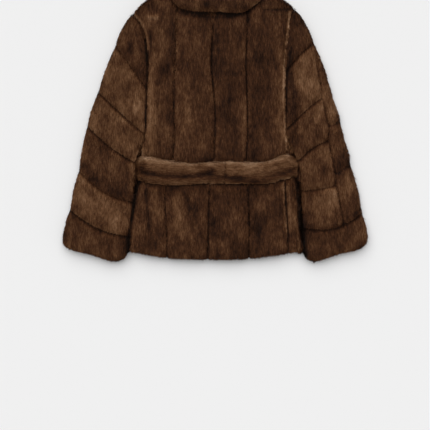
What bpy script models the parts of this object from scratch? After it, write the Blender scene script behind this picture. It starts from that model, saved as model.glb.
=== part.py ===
"""Faux fur jacket with a turned-down collar and a belt, lying flat with its back up.

The jacket is two layers of fur cloth on each other: the fronts and the under halves of the sleeves
lie on the ground, and the strips of the back and the bands of the sleeves lie on them. A wall is
the backing with its pile. All tables are in millimetres, x to the right of the middle of the back
and y up from the side ends of the hem.
"""

from bisect import bisect_right
from math import cos, radians, sin

import bpy
import numpy as np

MM = 0.001
WALL = 13.0  # backing and pile together, at the crown of a pelt
LAYER_GAP = 0.3  # between the two layers
SEAM_GAP = 0.3  # between neighbouring pieces of one layer
BAND_SEAM = 0.54  # between two bands of a sleeve, up and down
ARMHOLE_GAP = 1.0
SHOULDER_GAP = 2.6  # more of it from SHOULDER_FROM up, where the seam bends
SHOULDER_FROM, SHOULDER_SPAN = 550.0, 50.0
FOLD_RADIUS = 13.0  # how far in from a folded or turned edge the pile is level
RIM = 0.9  # least height of a rim
SEAM_DEPTH = 6.0
COLUMN_STEP = 17.0
ROW_STEP = 21.0
LOWER_TOP = WALL + 0.35
UPPER_BASE = LOWER_TOP + LAYER_GAP
MIDDLE = LOWER_TOP + LAYER_GAP / 2

# How the height of a wall falls towards a side: (distance in from the side, share of the height).
FOLDED = [(FOLD_RADIUS * (1 - cos(radians(a))), sin(radians(a))) for a in (0, 22, 45, 68, 90)]
SEWN = [(0.0, 1 - SEAM_DEPTH / WALL), (3.0, 0.7), (8.0, 0.9), (18.0, 1.0)]
CUT = [(0.0, 1.0)]

# Sides of the body: y, then x of the left edge.
LEFT_EDGE = [
    (627, -211), (599, -192), (570, -180), (532, -176), (491, -173), (434, -174), (370, -178),
    (308, -179), (280, -187), (254, -191), (222, -192), (194, -194), (178, -200), (136, -209),
    (98, -214), (58, -216), (0, -219), (-25, -219),
]
# The right armhole, which runs on down as the right side seam.
RIGHT_SEAM = [
    (640, 204), (623, 197), (590, 193), (541, 185), (491, 181), (451, 183), (401, 184), (351, 183),
    (302, 185), (266, 188), (228, 186), (188, 182), (131, 184), (81, 187), (48, 189), (-25, 192),
]
# The right fold, where the right front wraps on to the back, up to the armhole.
RIGHT_EDGE = [
    (640, 204), (623, 197), (590, 193), (541, 185), (491, 181), (451, 183), (401, 184), (351, 183),
    (308, 187), (280, 193), (254, 199), (222, 206), (194, 208), (178, 214), (136, 215), (98, 218),
    (40, 220), (-25, 223),
]
# Seams between the strips of the back.
SEAM_1 = [
    (701, -95), (628, -97), (573, -100), (394, -106), (269, -106), (178, -127), (105, -129),
    (64, -125), (-25, -125),
]
CENTRE = [
    (701, -6), (558, -6), (506, -10), (446, -5), (384, 0), (269, -1), (178, -12), (56, -17),
    (-25, -19),
]
SEAM_3 = [
    (701, 87), (573, 84), (506, 82), (436, 84), (303, 86), (251, 83), (173, 87), (48, 90),
    (-25, 89),
]
FRONT_CENTRE = [(701, 0), (-25, 0)]

# Ends of the body: x, then y of the hem, and of the shoulders with the neck between them.
HEM = [
    (-219, 0), (-168, -10), (-129, -16), (-64, -20), (1, -21), (66, -20), (131, -14), (183, -6),
    (223, 0),
]
TOP = [
    (-211, 627), (-203, 635), (-183, 656), (-155, 672), (-129, 685), (-90, 701), (-46, 692), (1, 688),
    (48, 692), (92, 701), (128, 685), (154, 672), (185, 656), (204, 640),
]
# The belt across the back: x, then y of its lower and upper sides.
BELT_LOW = [
    (-202, 193), (-179, 186), (-150, 180), (-101, 177), (-10, 182), (74, 180), (124, 181),
    (157, 186), (182, 193), (214, 198),
]
BELT_HIGH = [
    (-202, 252), (-164, 249), (-134, 242), (-109, 237), (-26, 234), (16, 237), (54, 237),
    (116, 235), (141, 239), (165, 248), (189, 256), (214, 248),
]
BELT_JOIN = 26.0  # x of the seam between its two lengths
BELT_UNDER = (196.0, 249.0)  # y of the sides of its straight run under the fronts
WAIST = 222.0
BELT_SQUEEZE = 7.0  # height of the pile that the belt presses, in either layer
WRAP_SQUEEZE = 5.0  # the same on the narrow strip beside the right side seam
BELT_MARGIN = 2.0  # how far beside the belt the pile is still pressed flat
BELT_RISE = 14.0  # where the pile comes up again beside the belt

# Large folds of the back: x and y of both ends, depth and half width.
FOLDS = [
    (-187, 181, -176, 82, -4.0, 7.0),
    (-80, 164, -70, 105, -3.0, 9.0),
    (-70, 105, -36, 22, -3.0, 9.0),
    (-150, 170, -148, 40, 1.5, 14.0),
    (40, 168, 46, 60, -1.5, 12.0),
]

# Seams across a sleeve: x and y at the body's side, the middle and the outer edge.
LEFT_SEAMS = [
    [(-174, 470), (-179, 565), (-214, 624)],
    [(-177, 425), (-216, 484), (-258, 541)],
    [(-180, 309), (-241, 363), (-302, 422)],
    [(-207, 238), (-267, 275), (-331, 333)],
    [(-211, 136), (-283, 158), (-353, 218)],
    [(-218, 47), (-298, 64), (-376, 116)],
    [(-225, 0), (-300, -17), (-397, 31)],
]
RIGHT_SEAMS = [
    [(183, 510), (187, 590), (204, 637)],
    [(184, 469), (217, 513), (258, 549)],
    [(185, 322), (237, 374), (280, 407)],
    [(216, 238), (250, 273), (297, 296)],
    [(226, 165), (274, 169), (315, 180)],
    [(230, 69), (313, 67), (382, 108)],
    [(230, 0), (302, -14), (399, 39)],
]
LEFT_CUFF = [
    (-225, 0), (-239, -20), (-249, -26), (-269, -26), (-291, -20), (-316, -10), (-344, -3),
    (-374, 3), (-390, 12), (-397, 31),
]
RIGHT_CUFF = [
    (230, 0), (241, -20), (258, -28), (278, -23), (302, -14), (336, -4), (369, 3), (389, 12),
    (397, 25), (399, 39),
]
# Free inner edges of the sleeves under the arm: y, then x.
LEFT_INNER = [
    (308, -181), (274, -196), (251, -204), (238, -207), (188, -210), (136, -211), (84, -216),
    (47, -218), (0, -225),
]
RIGHT_INNER = [
    (322, 186), (308, 190), (274, 202), (248, 214), (238, 217), (214, 226), (188, 227),
    (136, 228), (69, 230), (0, 230),
]
# The same edges of the under halves, which come in under the belt's ends and the body's sides.
LEFT_UNDER_INNER = [
    (308, -181), (290, -186.5), (275, -191), (264, -196), (255, -202.5), (225, -204), (190, -205.5),
    (178, -206), (136, -211.3), (98, -216.3), (58, -218.5), (20, -221.5), (0, -225),
]
RIGHT_UNDER_INNER = [
    (322, 186), (308, 189.5), (280, 195.5), (268, 200), (258, 211.5), (249, 214.5), (225, 217),
    (194, 219), (178, 218.5), (136, 219), (98, 221.5), (40, 223.5), (15, 226), (0, 230),
]
# The right sleeve's seam along the arm, and its fold: y, then x.
ARM_SEAM = [
    (549, 258), (469, 269), (428, 276), (407, 280), (363, 289), (324, 296), (296, 297),
    (266, 302), (214, 311), (180, 315), (126, 326), (74, 335),
]
ARM_FOLD = [
    (549, 258), (512, 272), (461, 291), (421, 302), (389, 311), (361, 322), (332, 328),
    (291, 337), (260, 349), (228, 353), (197, 362), (162, 372), (108, 382),
]
ARM_BANDS = [(276, 440, 296, 448), (299, 328, 330, 338), (315, 205, 354, 232)]
FOLD_INSET = 0.5  # a wrapped strip starts this far inside the edge of its under piece
BULGE = 3.0  # how far a sleeve band swells out between two seams
SHOULDER_BULGE = 6.6  # the same at the top of the sleeve
FOLD_BULGE = 1.5  # the same at the right arm's fold
BAND_DEPTH, BAND_HALF_WIDTH = 4.5, 6.0  # of the cross seams beyond the right arm's seam
LEFT_ARMHOLE_END = 308
RIGHT_ARMHOLE_END = 322

# The collar: x, then y of the lower side of its fall, and of its roll above the neck.
FALL = [
    (-119, 672), (-116, 664), (-107, 649), (-97, 638), (-72, 627), (-39, 623), (14, 622),
    (45, 619), (79, 623), (104, 640), (120, 653), (129, 667), (132, 674),
]
ROLL = [
    (-119, 692), (-114, 713), (-101, 731), (-76, 741), (1, 745), (86, 741), (112, 731),
    (126, 713), (132, 693),
]
COLLAR_TOP = 38.0
COLLAR_GAP = 0.4  # between its fall and the back
COLLAR_LEAST = 2.5  # its thickness at an end
ROLL_RADIUS = 17.0
NECK_CLEARANCE = 1.4
COLLAR_ENDS = (-119.0, 132.0)
NECK_ENDS = (-92.0, 94.0)
BELT_WALL = 11.5
BELT_SIDE_WALL = 7.0
BELT_CLEARANCE = 1.8

FUR_TONES = {
    "back": (0.052, 0.021, 0.009),
    "sleeve": (0.078, 0.036, 0.016),
    "front": (0.060, 0.026, 0.012),
    "collar": (0.080, 0.040, 0.020),
    "belt": (0.110, 0.056, 0.029),
}

collection = bpy.data.collections.new("fur_jacket")


class Curve:
    """A smooth curve through a table of (position, value)."""

    def __init__(self, table):
        knots, values = np.array(sorted(table), float).T
        self.slopes = np.gradient(values, knots).tolist()
        self.knots, self.values = knots.tolist(), values.tolist()

    def __call__(self, at):
        knots, values, slopes = self.knots, self.values, self.slopes
        at = min(max(at, knots[0]), knots[-1])
        i = min(bisect_right(knots, at) - 1, len(knots) - 2)
        span = knots[i + 1] - knots[i]
        t = (at - knots[i]) / span
        return (
            values[i] * (1 + 2 * t) * (1 - t) ** 2
            + values[i + 1] * t * t * (3 - 2 * t)
            + span * (slopes[i] * t * (1 - t) ** 2 - slopes[i + 1] * t * t * (1 - t))
        )


left_edge, right_seam, right_edge = Curve(LEFT_EDGE), Curve(RIGHT_SEAM), Curve(RIGHT_EDGE)
hem, top_edge = Curve(HEM), Curve(TOP)
belt_low, belt_high = Curve(BELT_LOW), Curve(BELT_HIGH)
arm_seam, arm_fold = Curve(ARM_SEAM), Curve(ARM_FOLD)


def stations(width, first, last, step):
    """Places across a piece, 0 to 1, each with its share of the height."""
    reach = max(first[-1][0], last[-1][0], step / 4)
    squeeze = min(1.0, 0.45 * width / reach)
    near = [(offset * squeeze / width, share) for offset, share in first]
    far = [(1 - offset * squeeze / width, share) for offset, share in reversed(last)]
    gap = far[0][0] - near[-1][0]
    count = max(1, round(gap * width / step))
    return near + [(near[-1][0] + gap * k / count, 1.0) for k in range(1, count)] + far


def fold_relief(x, y):
    total = 0.0
    for x0, y0, x1, y1, depth, half_width in FOLDS:
        dx, dy = x1 - x0, y1 - y0
        t = np.clip(((x - x0) * dx + (y - y0) * dy) / (dx * dx + dy * dy), 0, 1)
        distance = np.hypot(x - x0 - t * dx, y - y0 - t * dy)
        total += depth * np.exp(-((distance / half_width) ** 2))
    return total


def pressed(y, low, high, full, least=BELT_SQUEEZE):
    """Height of pile beside and under the belt."""
    away = max(low - y, y - high, 0.0)
    return full - (full - least) * max(0.0, 1 - away / BELT_RISE)


def back_height(x, y):
    height = pressed(y, belt_low(x) - BELT_MARGIN, belt_high(x) + BELT_MARGIN, WALL)
    return min(height + fold_relief(x, y), height + 1.5) if height > WALL - 3 else height


def front_height(x, y):
    return pressed(y, BELT_UNDER[0] - BELT_MARGIN, BELT_UNDER[1] + BELT_MARGIN, LOWER_TOP)


def level(x, y):
    return WALL


def banded(x, y):
    """Height of the outer arm, sunk at its cross seams."""
    height = WALL
    for x0, y0, x1, y1 in ARM_BANDS:
        t = np.clip((x - x0) / (x1 - x0), 0, 1)
        away = y - y0 - t * (y1 - y0)
        height -= BAND_DEPTH * np.exp(-((away / BAND_HALF_WIDTH) ** 2))
    return height


def fur_material(tone):
    material = bpy.data.materials.new(f"{tone}_fur")
    material.use_nodes = True
    shader = material.node_tree.nodes["Principled BSDF"]
    shader.inputs["Base Color"].default_value = (*FUR_TONES[tone], 1.0)
    shader.inputs["Roughness"].default_value = 0.75
    shader.inputs["Metallic"].default_value = 0.0
    shader.inputs["Sheen Weight"].default_value = 0.4
    return material


MATERIALS = {tone: fur_material(tone) for tone in FUR_TONES}


def add_object(name, points, faces, tone):
    mesh = bpy.data.meshes.new(name)
    mesh.from_pydata([(x * MM, y * MM, z * MM) for x, y, z in points], [], faces)
    mesh.validate()
    mesh.shade_smooth()
    mesh.set_sharp_from_angle(angle=radians(50))
    mesh.materials.append(MATERIALS[tone])
    piece = bpy.data.objects.new(name, mesh)
    collection.objects.link(piece)
    return piece


def border(rows, columns):
    """Grid indices round a grid, anticlockwise from above: columns run right and rows run up."""
    ring = [(0, c) for c in range(columns)]
    ring += [(r, columns - 1) for r in range(1, rows)]
    ring += [(rows - 1, c) for c in range(columns - 2, -1, -1)]
    return ring + [(r, 0) for r in range(rows - 2, 0, -1)]


def panel(name, place, columns, rows, height, tone, upper=True):
    """A piece of one layer: relief on the side that shows, plain where the layers meet."""
    plane, way = (UPPER_BASE, 1) if upper else (LOWER_TOP, -1)
    ring = border(len(rows), len(columns))
    points = []
    for v, row_share in rows:
        for u, column_share in columns:
            x, y = place(u, v)
            lift = max(RIM, height(x, y) * row_share * column_share)
            points.append((x, y, plane + way * lift))
    grid = {(r, c): r * len(columns) + c for r in range(len(rows)) for c in range(len(columns))}
    base = {}
    for key in ring:
        x, y, _ = points[grid[key]]
        base[key] = len(points)
        points.append((x, y, plane))
    quads = [
        [grid[r, c], grid[r, c + 1], grid[r + 1, c + 1], grid[r + 1, c]]
        for r in range(len(rows) - 1)
        for c in range(len(columns) - 1)
    ]
    for here, there in zip(ring, ring[1:] + ring[:1]):
        quads.append([base[here], base[there], grid[there], grid[here]])
    quads.append([base[key] for key in reversed(ring)])
    x0, y0, _ = points[grid[0, 0]]
    x1, y1, _ = points[grid[0, len(columns) - 1]]
    x2, y2, _ = points[grid[len(rows) - 1, 0]]
    clockwise = (x1 - x0) * (y2 - y0) - (y1 - y0) * (x2 - x0) < 0
    if clockwise == upper:
        quads = [face[::-1] for face in quads]
    return add_object(name, points, quads, tone)


# The body: strips of the back over the two fronts, all from the same sides, hem and shoulders.

BODY_LEVELS = [
    lambda x: hem(x),
    lambda x: belt_low(x) - BELT_MARGIN - BELT_RISE,
    lambda x: belt_low(x) - BELT_MARGIN,
    lambda x: belt_high(x) + BELT_MARGIN,
    lambda x: belt_high(x) + BELT_MARGIN + BELT_RISE,
    lambda x: top_edge(x),
]
FRONT_LEVELS = [
    BODY_LEVELS[0],
    lambda x: BELT_UNDER[0] - BELT_MARGIN - BELT_RISE,
    lambda x: BELT_UNDER[0] - BELT_MARGIN,
    lambda x: BELT_UNDER[1] + BELT_MARGIN,
    lambda x: BELT_UNDER[1] + BELT_MARGIN + BELT_RISE,
    BODY_LEVELS[5],
]
BODY_LENGTHS = [175, BELT_RISE, 58, BELT_RISE, 420]


def body_rows(top_side, steps):
    rows = []
    for k, (length, step) in enumerate(zip(BODY_LENGTHS, steps)):
        first = FOLDED if k == 0 else CUT
        last = top_side if k == len(BODY_LENGTHS) - 1 else CUT
        part = stations(length, first, last, step)
        rows += [((k, t), share) for t, share in part[(k > 0) :]]
    return rows


def body_place(left, right, left_gap, right_gap, levels):
    def place(u, v):
        segment, t = v
        y = 300.0
        for _ in range(6):
            x0 = left(y) + left_gap
            x1 = right(y) - right_gap
            x = x0 + (x1 - x0) * u
            y = levels[segment](x) * (1 - t) + levels[segment + 1](x) * t
        return x, y

    return place


def make_back():
    half = SEAM_GAP / 2
    seam_1, centre, seam_3 = Curve(SEAM_1), Curve(CENTRE), Curve(SEAM_3)
    strips = [
        ("back_1", left_edge, seam_1, FOLDED, SEWN, FOLDED, 77),
        ("back_2", seam_1, centre, SEWN, SEWN, CUT, 98),
        ("back_3", centre, seam_3, SEWN, SEWN, CUT, 98),
        ("back_4", seam_3, right_seam, SEWN, SEWN, FOLDED, 100),
    ]
    for name, left, right, left_side, right_side, top_side, width in strips:
        place = body_place(left, right, half, half, BODY_LEVELS)
        columns = stations(width, left_side, right_side, COLUMN_STEP)
        rows = body_rows(top_side, [ROW_STEP, BELT_RISE, 20, BELT_RISE, ROW_STEP])
        panel(name, place, columns, rows, back_height, "back")


def make_fronts():
    half, opening = SEAM_GAP / 2, Curve(FRONT_CENTRE)
    sides = [
        ("front_left", left_edge, opening, FOLDED, CUT),
        ("front_right", opening, right_edge, CUT, FOLDED),
    ]
    rows = body_rows(FOLDED, [44, BELT_RISE, 60, BELT_RISE, 24])
    for name, left, right, left_side, right_side in sides:
        place = body_place(left, right, half, half, FRONT_LEVELS)
        columns = stations(200, left_side, right_side, 45)
        panel(name, place, columns, rows, front_height, "front", upper=False)


# The sleeves: six slanted bands each, over a plain under half.


def seam_point(seam, v):
    """A bowed seam through its three points, from the body's side at 0 to the outer edge at 1."""
    (x0, y0), (x1, y1), (x2, y2) = seam
    a, b, c = (1 - v) * (1 - 2 * v), 4 * v * (1 - v), v * (2 * v - 1)
    return a * x0 + b * x1 + c * x2, a * y0 + b * y1 + c * y2


def table_point(table, t):
    points = np.array(table, float)
    walked = np.concatenate([[0], np.cumsum(np.hypot(*np.diff(points, axis=0).T))])
    walked /= walked[-1]
    return Curve(zip(walked, points[:, 0]))(t), Curve(zip(walked, points[:, 1]))(t)


class Sleeve:
    """The outline and the seams of one sleeve. side is -1 on the left and 1 on the right."""

    def __init__(self, side):
        self.side = side
        left = side < 0
        self.seams = LEFT_SEAMS if left else RIGHT_SEAMS
        self.cuff = LEFT_CUFF if left else RIGHT_CUFF
        self.inner = Curve(LEFT_INNER if left else RIGHT_INNER)
        self.under_inner = Curve(LEFT_UNDER_INNER if left else RIGHT_UNDER_INNER)
        self.armhole = left_edge if left else right_seam
        self.armhole_end = LEFT_ARMHOLE_END if left else RIGHT_ARMHOLE_END

    def armhole_x(self, y):
        """Just clear of the body, and a little more where the seam bends at the shoulder."""
        bend = min(max((y - SHOULDER_FROM) / SHOULDER_SPAN, 0.0), 1.0)
        return self.armhole(y) + self.side * (ARMHOLE_GAP + SHOULDER_GAP * bend)

    def inner_x(self, y):
        return self.armhole_x(y) if y > self.armhole_end else self.inner(y)

    def seam(self, k, v):
        x, y = seam_point(self.seams[k], v)
        if k == 0:
            return self.armhole_x(y), y
        if k == len(self.seams) - 1:
            return table_point(self.cuff, v)
        x0 = self.seams[k][0][0]
        return x + (self.inner_x(self.seams[k][0][1]) - x0) * (1 - v), y

    def inner_side(self, k, t):
        y0, y1 = self.seam(k, 0)[1], self.seam(k + 1, 0)[1]
        y = y0 + (y1 - y0) * t
        return self.inner_x(y), y

    def under_side(self, k, t):
        """The inner side of the under half, beside the same bands."""
        x, y = self.inner_side(k, t)
        return (x if y > self.armhole_end else self.under_inner(y)), y

    def outer_side(self, k, t):
        """The silhouette between two seams, swelling out a little."""
        if self.side > 0 and 1 <= k <= 4:
            y = self.seam(k, 1)[1] * (1 - t) + self.arm_end(k + 1)[1] * t
            return arm_seam(y), y
        x0, y0 = self.seam(k, 1)
        x1, y1 = self.seam(k + 1, 1)
        length = np.hypot(x1 - x0, y1 - y0)
        swell = (SHOULDER_BULGE if k == 0 else BULGE) * 4 * t * (1 - t)
        x = x0 + (x1 - x0) * t + self.side * swell * abs(y1 - y0) / length
        return x, y0 + (y1 - y0) * t + swell * abs(x1 - x0) / length

    def arm_end(self, k):
        """Where seam k meets the seam along the right arm."""
        if k != 5:
            return self.seam(k, 1)
        return self.seam(5, self.arm_share())

    def arm_share(self):
        shares = np.linspace(0.5, 1.0, 101)
        gaps = [self.seam(5, v)[0] - arm_seam(self.seam(5, v)[1]) for v in shares]
        return float(shares[int(np.argmin(np.abs(gaps)))])

    def band_place(self, k):
        """A patch between seams k and k + 1: u from the body's side out, v from the lower seam up."""
        reach = self.arm_share() if self.side > 0 and k == 4 else 1.0
        half = BAND_SEAM / 2

        def place(u, v):
            t = 1 - v
            upper = np.array(self.seam(k, u)) - (0, half)
            lower = np.array(self.seam(k + 1, u * reach)) + (0, half)
            inner = np.array(self.inner_side(k, t)) + (0, half * (t * 2 - 1))
            outer = np.array(self.outer_side(k, t)) + (0, half * (t * 2 - 1))
            corners = (
                (1 - u) * (1 - t) * (np.array(self.seam(k, 0)) - (0, half))
                + (1 - u) * t * (np.array(self.seam(k + 1, 0)) + (0, half))
                + u * (1 - t) * (np.array(self.seam(k, 1)) - (0, half))
                + u * t * (np.array(self.seam(k + 1, reach)) + (0, half))
            )
            x, y = (1 - t) * upper + t * lower + (1 - u) * inner + u * outer - corners
            return float(x), float(y)

        return place


def make_sleeve(side, prefix):
    sleeve = Sleeve(side)
    for k in range(6):
        inner_side = SEWN if k < 2 else FOLDED
        outer_side = SEWN if side > 0 and 1 <= k <= 4 else FOLDED
        columns = stations(115 if k else 90, inner_side, outer_side, COLUMN_STEP)
        rows = stations(85 if k < 5 else 60, FOLDED if k == 5 else SEWN, SEWN, COLUMN_STEP)
        place = sleeve.band_place(k)
        panel(f"{prefix}_{k + 1}", place, columns, rows, level, "sleeve")
    return sleeve


def outline(sleeve):
    """Points round a whole sleeve, each with the inset over which its underside rounds up."""
    points = []
    for k in range(6):
        count = 8 if k == 5 else 5
        for t in np.arange(count) / count:
            inset = FOLD_RADIUS * min(1.0, 0.05 + (k + t) / 0.7)
            points.append((*arm_or_outer(sleeve, k, t), inset))
    points += [(*sleeve.seam(6, 1 - t), FOLD_RADIUS) for t in np.arange(22) / 22]
    for k in range(5, -1, -1):
        inset = 0.6 if k < 2 else FOLD_RADIUS
        points += [(*sleeve.under_side(k, 1 - t), inset) for t in np.arange(8) / 8]
    points += [(*sleeve.seam(0, t), 0.6) for t in np.arange(14) / 14]
    return points


def arm_or_outer(sleeve, k, t):
    if sleeve.side > 0 and 1 <= k <= 4:
        y0 = sleeve.seam(1, 1)[1] if k == 1 else ARM_ENDS[k]
        y1 = sleeve.seam(5, 1)[1] if k == 4 else ARM_ENDS[k + 1]
        y = y0 + (y1 - y0) * t
        swell = FOLD_BULGE * 4 * t * (1 - t)
        return arm_fold(y) + swell, y
    return sleeve.outer_side(k, t)


ARM_ENDS = {2: 448.0, 3: 338.0, 4: 232.0}


def make_under_sleeve(sleeve, name):
    """The half of the sleeve that lies on the ground, level where it rests."""
    ring = outline(sleeve)
    flat = np.array([(x, y) for x, y, _ in ring])
    area = np.sum(flat[:, 0] * np.roll(flat[:, 1], -1) - np.roll(flat[:, 0], -1) * flat[:, 1])
    tangents = np.roll(flat, -1, axis=0) - np.roll(flat, 1, axis=0)
    tangents /= np.linalg.norm(tangents, axis=1)[:, None]
    inwards = np.column_stack([-tangents[:, 1], tangents[:, 0]]) * np.sign(area)
    insets = np.array([inset for _, _, inset in ring])
    for _ in range(3):
        insets = (np.roll(insets, 1) + 2 * insets + np.roll(insets, -1)) / 4
    loops = [[(x, y, LOWER_TOP) for x, y in flat]]
    for offset, share in FOLDED:
        moved = flat + inwards * (insets * offset / FOLD_RADIUS)[:, None]
        loops.append([(x, y, LOWER_TOP - max(RIM, LOWER_TOP * share)) for x, y in moved])
    count = len(flat)
    points = [point for loop in loops for point in loop]
    faces = []
    for k in range(len(loops) - 1):
        for i in range(count):
            j = (i + 1) % count
            faces.append([k * count + i, k * count + j, (k + 1) * count + j, (k + 1) * count + i])
    faces.append(list(range(count))[::-1])
    last = (len(loops) - 1) * count
    faces.append([last + i for i in range(count)])
    if area > 0:
        faces = [face[::-1] for face in faces]
    return add_object(name, points, faces, "sleeve")


# The two places where an under piece wraps on to the back of the jacket at its right fold.


def flap(name, place, columns, rows, height, tone):
    """A closed sheet in the upper layer whose outer side reaches down into its own piece."""
    top, bottom = [], []
    sunk_from = columns[-3][0]
    for v, row_share in rows:
        for u, column_share in columns:
            x, y = place(u, v)
            lift = max(RIM, height(x, y) * row_share * column_share)
            sunk = u >= sunk_from
            top.append((x, y, UPPER_BASE + lift))
            bottom.append((x, y, MIDDLE - 1.0 if sunk else UPPER_BASE))
    return wall(name, top, bottom, len(rows), len(columns), tone)


def wall(name, outer, inner, rows, columns, tone):
    """A closed body between two grids of points, the outer one seen anticlockwise from outside."""
    points = outer + inner
    shift = len(outer)
    faces = []
    for r in range(rows - 1):
        for c in range(columns - 1):
            a, b = r * columns + c, r * columns + c + 1
            d, e = a + columns, b + columns
            faces.append([a, b, e, d])
            faces.append([shift + d, shift + e, shift + b, shift + a])
    ring = [r * columns + c for r, c in border(rows, columns)]
    for here, there in zip(ring, ring[1:] + ring[:1]):
        faces.append([shift + here, shift + there, there, here])
    return add_object(name, points, faces, tone)


def join(piece, other):
    """One body of two that overlap along a fold."""
    union = piece.modifiers.new("fold", "BOOLEAN")
    union.operation = "UNION"
    union.object = other
    other.hide_render = True
    other.display_type = "WIRE"


def wrap_front(front):
    """The strip of the right front that shows beside the right side seam."""
    start, low, high = 292.0, BELT_UNDER[0] - 1, BELT_UNDER[1] + 3
    half = SEAM_GAP / 2
    levels = [
        lambda x: hem(x) + 0.4,
        lambda x: low - BELT_RISE,
        lambda x: low,
        lambda x: high,
        lambda x: high + BELT_RISE,
        lambda x: start,
    ]
    place = body_place(right_seam, right_edge, half, FOLD_INSET, levels)
    columns = stations(28, SEWN[:3], FOLDED, 6)
    rows = body_rows([(0.0, 0.3), (6.0, 0.8), (12.0, 1.0)], [30, BELT_RISE, 30, BELT_RISE, 420])

    def height(x, y):
        return pressed(y, low, high, WALL, WRAP_SQUEEZE)

    join(front, flap("front_right_wrap", place, columns, rows, height, "front"))


def wrap_sleeve(under, sleeve):
    """The strip of the right sleeve's under half that shows beyond the seam along the arm."""
    start = 536.0
    cuff_seam = Curve([sleeve.seam(5, v) for v in np.linspace(0, 1, 25)])

    def place(u, v):
        y = 300.0
        for _ in range(8):
            x0, x1 = arm_seam(y) + SEAM_GAP, arm_fold(y) - FOLD_INSET
            x = x0 + (x1 - x0) * u
            end = cuff_seam(x) + SEAM_GAP * 2
            y = end + (start - end) * v
        return x, y

    columns = stations(30, SEWN[:3], FOLDED, 8)
    rows = stations(430, SEWN, [(0.0, 0.3), (12.0, 0.7), (30.0, 1.0)], 13)
    join(under, flap("sleeve_right_wrap", place, columns, rows, banded, "sleeve"))


# The belt: two lengths sewn together a little right of the back's middle, round the waist.


def belt_ring(side):
    """Stations of one length, from the seam at the back round the side to the middle of the fronts.

    Each is (x, inner z, outer x, outer z, share of the way from the back run to the under run)."""
    end = (left_edge if side < 0 else right_edge)(WAIST)
    flat = abs(end) - FOLD_RADIUS
    top = UPPER_BASE + BELT_SQUEEZE + LAYER_GAP
    bottom = LOWER_TOP - BELT_SQUEEZE - LAYER_GAP
    first = side * BELT_JOIN + SEAM_GAP / 2
    ring = [(side * x, top, side * x, top + BELT_WALL, 0.0) for x in np.linspace(first, flat, 15)]
    reach, rise, drop = FOLD_RADIUS + BELT_CLEARANCE, top - MIDDLE, MIDDLE - bottom
    for angle in range(75, -90, -15):
        c, s = cos(radians(angle)), sin(radians(angle))
        share = 0.5 - s / 2
        x, z = flat + reach * c, MIDDLE + (rise if s > 0 else drop) * s
        outer_height = rise + BELT_WALL if s > 0 else MIDDLE
        out = flat + (reach + BELT_SIDE_WALL) * c
        ring.append((side * x, z, side * out, MIDDLE + outer_height * s, share))
    ring += [(side * x, bottom, side * x, 0.0, 1.0) for x in np.linspace(flat, 0.2, 6)]
    return ring


BELT_SECTION = [
    (0.0, 0.22), (0.04, 0.6), (0.12, 0.86), (0.22, 0.84), (0.3, 0.66), (0.4, 0.84), (0.6, 1.0),
    (0.8, 0.96), (0.93, 0.72), (1.0, 0.22),
]


def make_belt(side, name):
    ring = belt_ring(side)
    edge = left_edge if side < 0 else right_edge
    waist = edge(WAIST)
    inner, outer = [], []
    for x, z, x_out, z_out, share in ring:
        levelled = max(0.0, share * 2 - 1)  # the run on the ground has no crown
        low = belt_low(x) * (1 - share) + BELT_UNDER[0] * share
        high = belt_high(x) * (1 - share) + BELT_UNDER[1] * share
        for v, thick in BELT_SECTION:
            y = low + (high - low) * v
            thick += (1 - thick) * levelled
            x_in = x + (edge(y) - waist) * np.clip((x - BELT_JOIN) / (waist - BELT_JOIN), 0, 1)
            inner.append((x_in, y, z))
            outer.append((x_in + (x_out - x) * thick, y, z + (z_out - z) * thick))
    rows, columns = len(ring), len(BELT_SECTION)
    if side < 0:
        return wall(name, outer, inner, rows, columns, "belt")
    order = [r * columns + c for r in range(rows) for c in reversed(range(columns))]
    outer, inner = [outer[i] for i in order], [inner[i] for i in order]
    return wall(name, outer, inner, rows, columns, "belt")


# The collar: a fall over the back and a roll above the neck, which holds its hidden layers.


def collar_section(x):
    """Closed outline in y and z, from the fall's lower side over the roll and back underneath."""
    fall, roll = Curve(FALL)(x), Curve(ROLL)(x)
    under = UPPER_BASE + WALL + COLLAR_GAP
    left = (x - COLLAR_ENDS[0]) / (NECK_ENDS[0] - COLLAR_ENDS[0])
    right = (COLLAR_ENDS[1] - x) / (COLLAR_ENDS[1] - NECK_ENDS[1])
    depth = np.clip(min(left, right), 0, 1)  # 0 at an end of the collar, 1 where the neck begins
    crown = under + COLLAR_LEAST + (COLLAR_TOP - under - COLLAR_LEAST) * min(1.0, depth * 1.6 + 0.12)
    neck = min(top_edge(x) + NECK_CLEARANCE, roll - 2.0)
    low = under * (1 - min(1.0, depth * 1.35))
    span = roll - fall
    inset = min(ROLL_RADIUS, (roll - neck) * 0.48, span * 0.3)
    section = [
        (fall, under),
        (fall, under + 1.6),
        (fall + 0.05 * span, under + 0.55 * (crown - under)),
        (fall + 0.14 * span, crown - 1.0),
        (fall + 0.3 * span, crown),
        (fall + 0.55 * span, crown - 0.8),
    ]
    middle, half = (crown + low) / 2, (crown - low) / 2
    for angle in (80, 55, 30, 0, -30, -55, -90):
        c, s = cos(radians(angle)), sin(radians(angle))
        section.append((roll - inset + inset * c, middle + half * s))
    heel = max(neck + 0.5, roll - inset - 0.3 * (roll - inset - neck))
    section += [(heel, low), (neck, low), (neck, under - 0.35 * (under - low)), (neck, under)]
    return [(x, y, z) for y, z in section]


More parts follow.
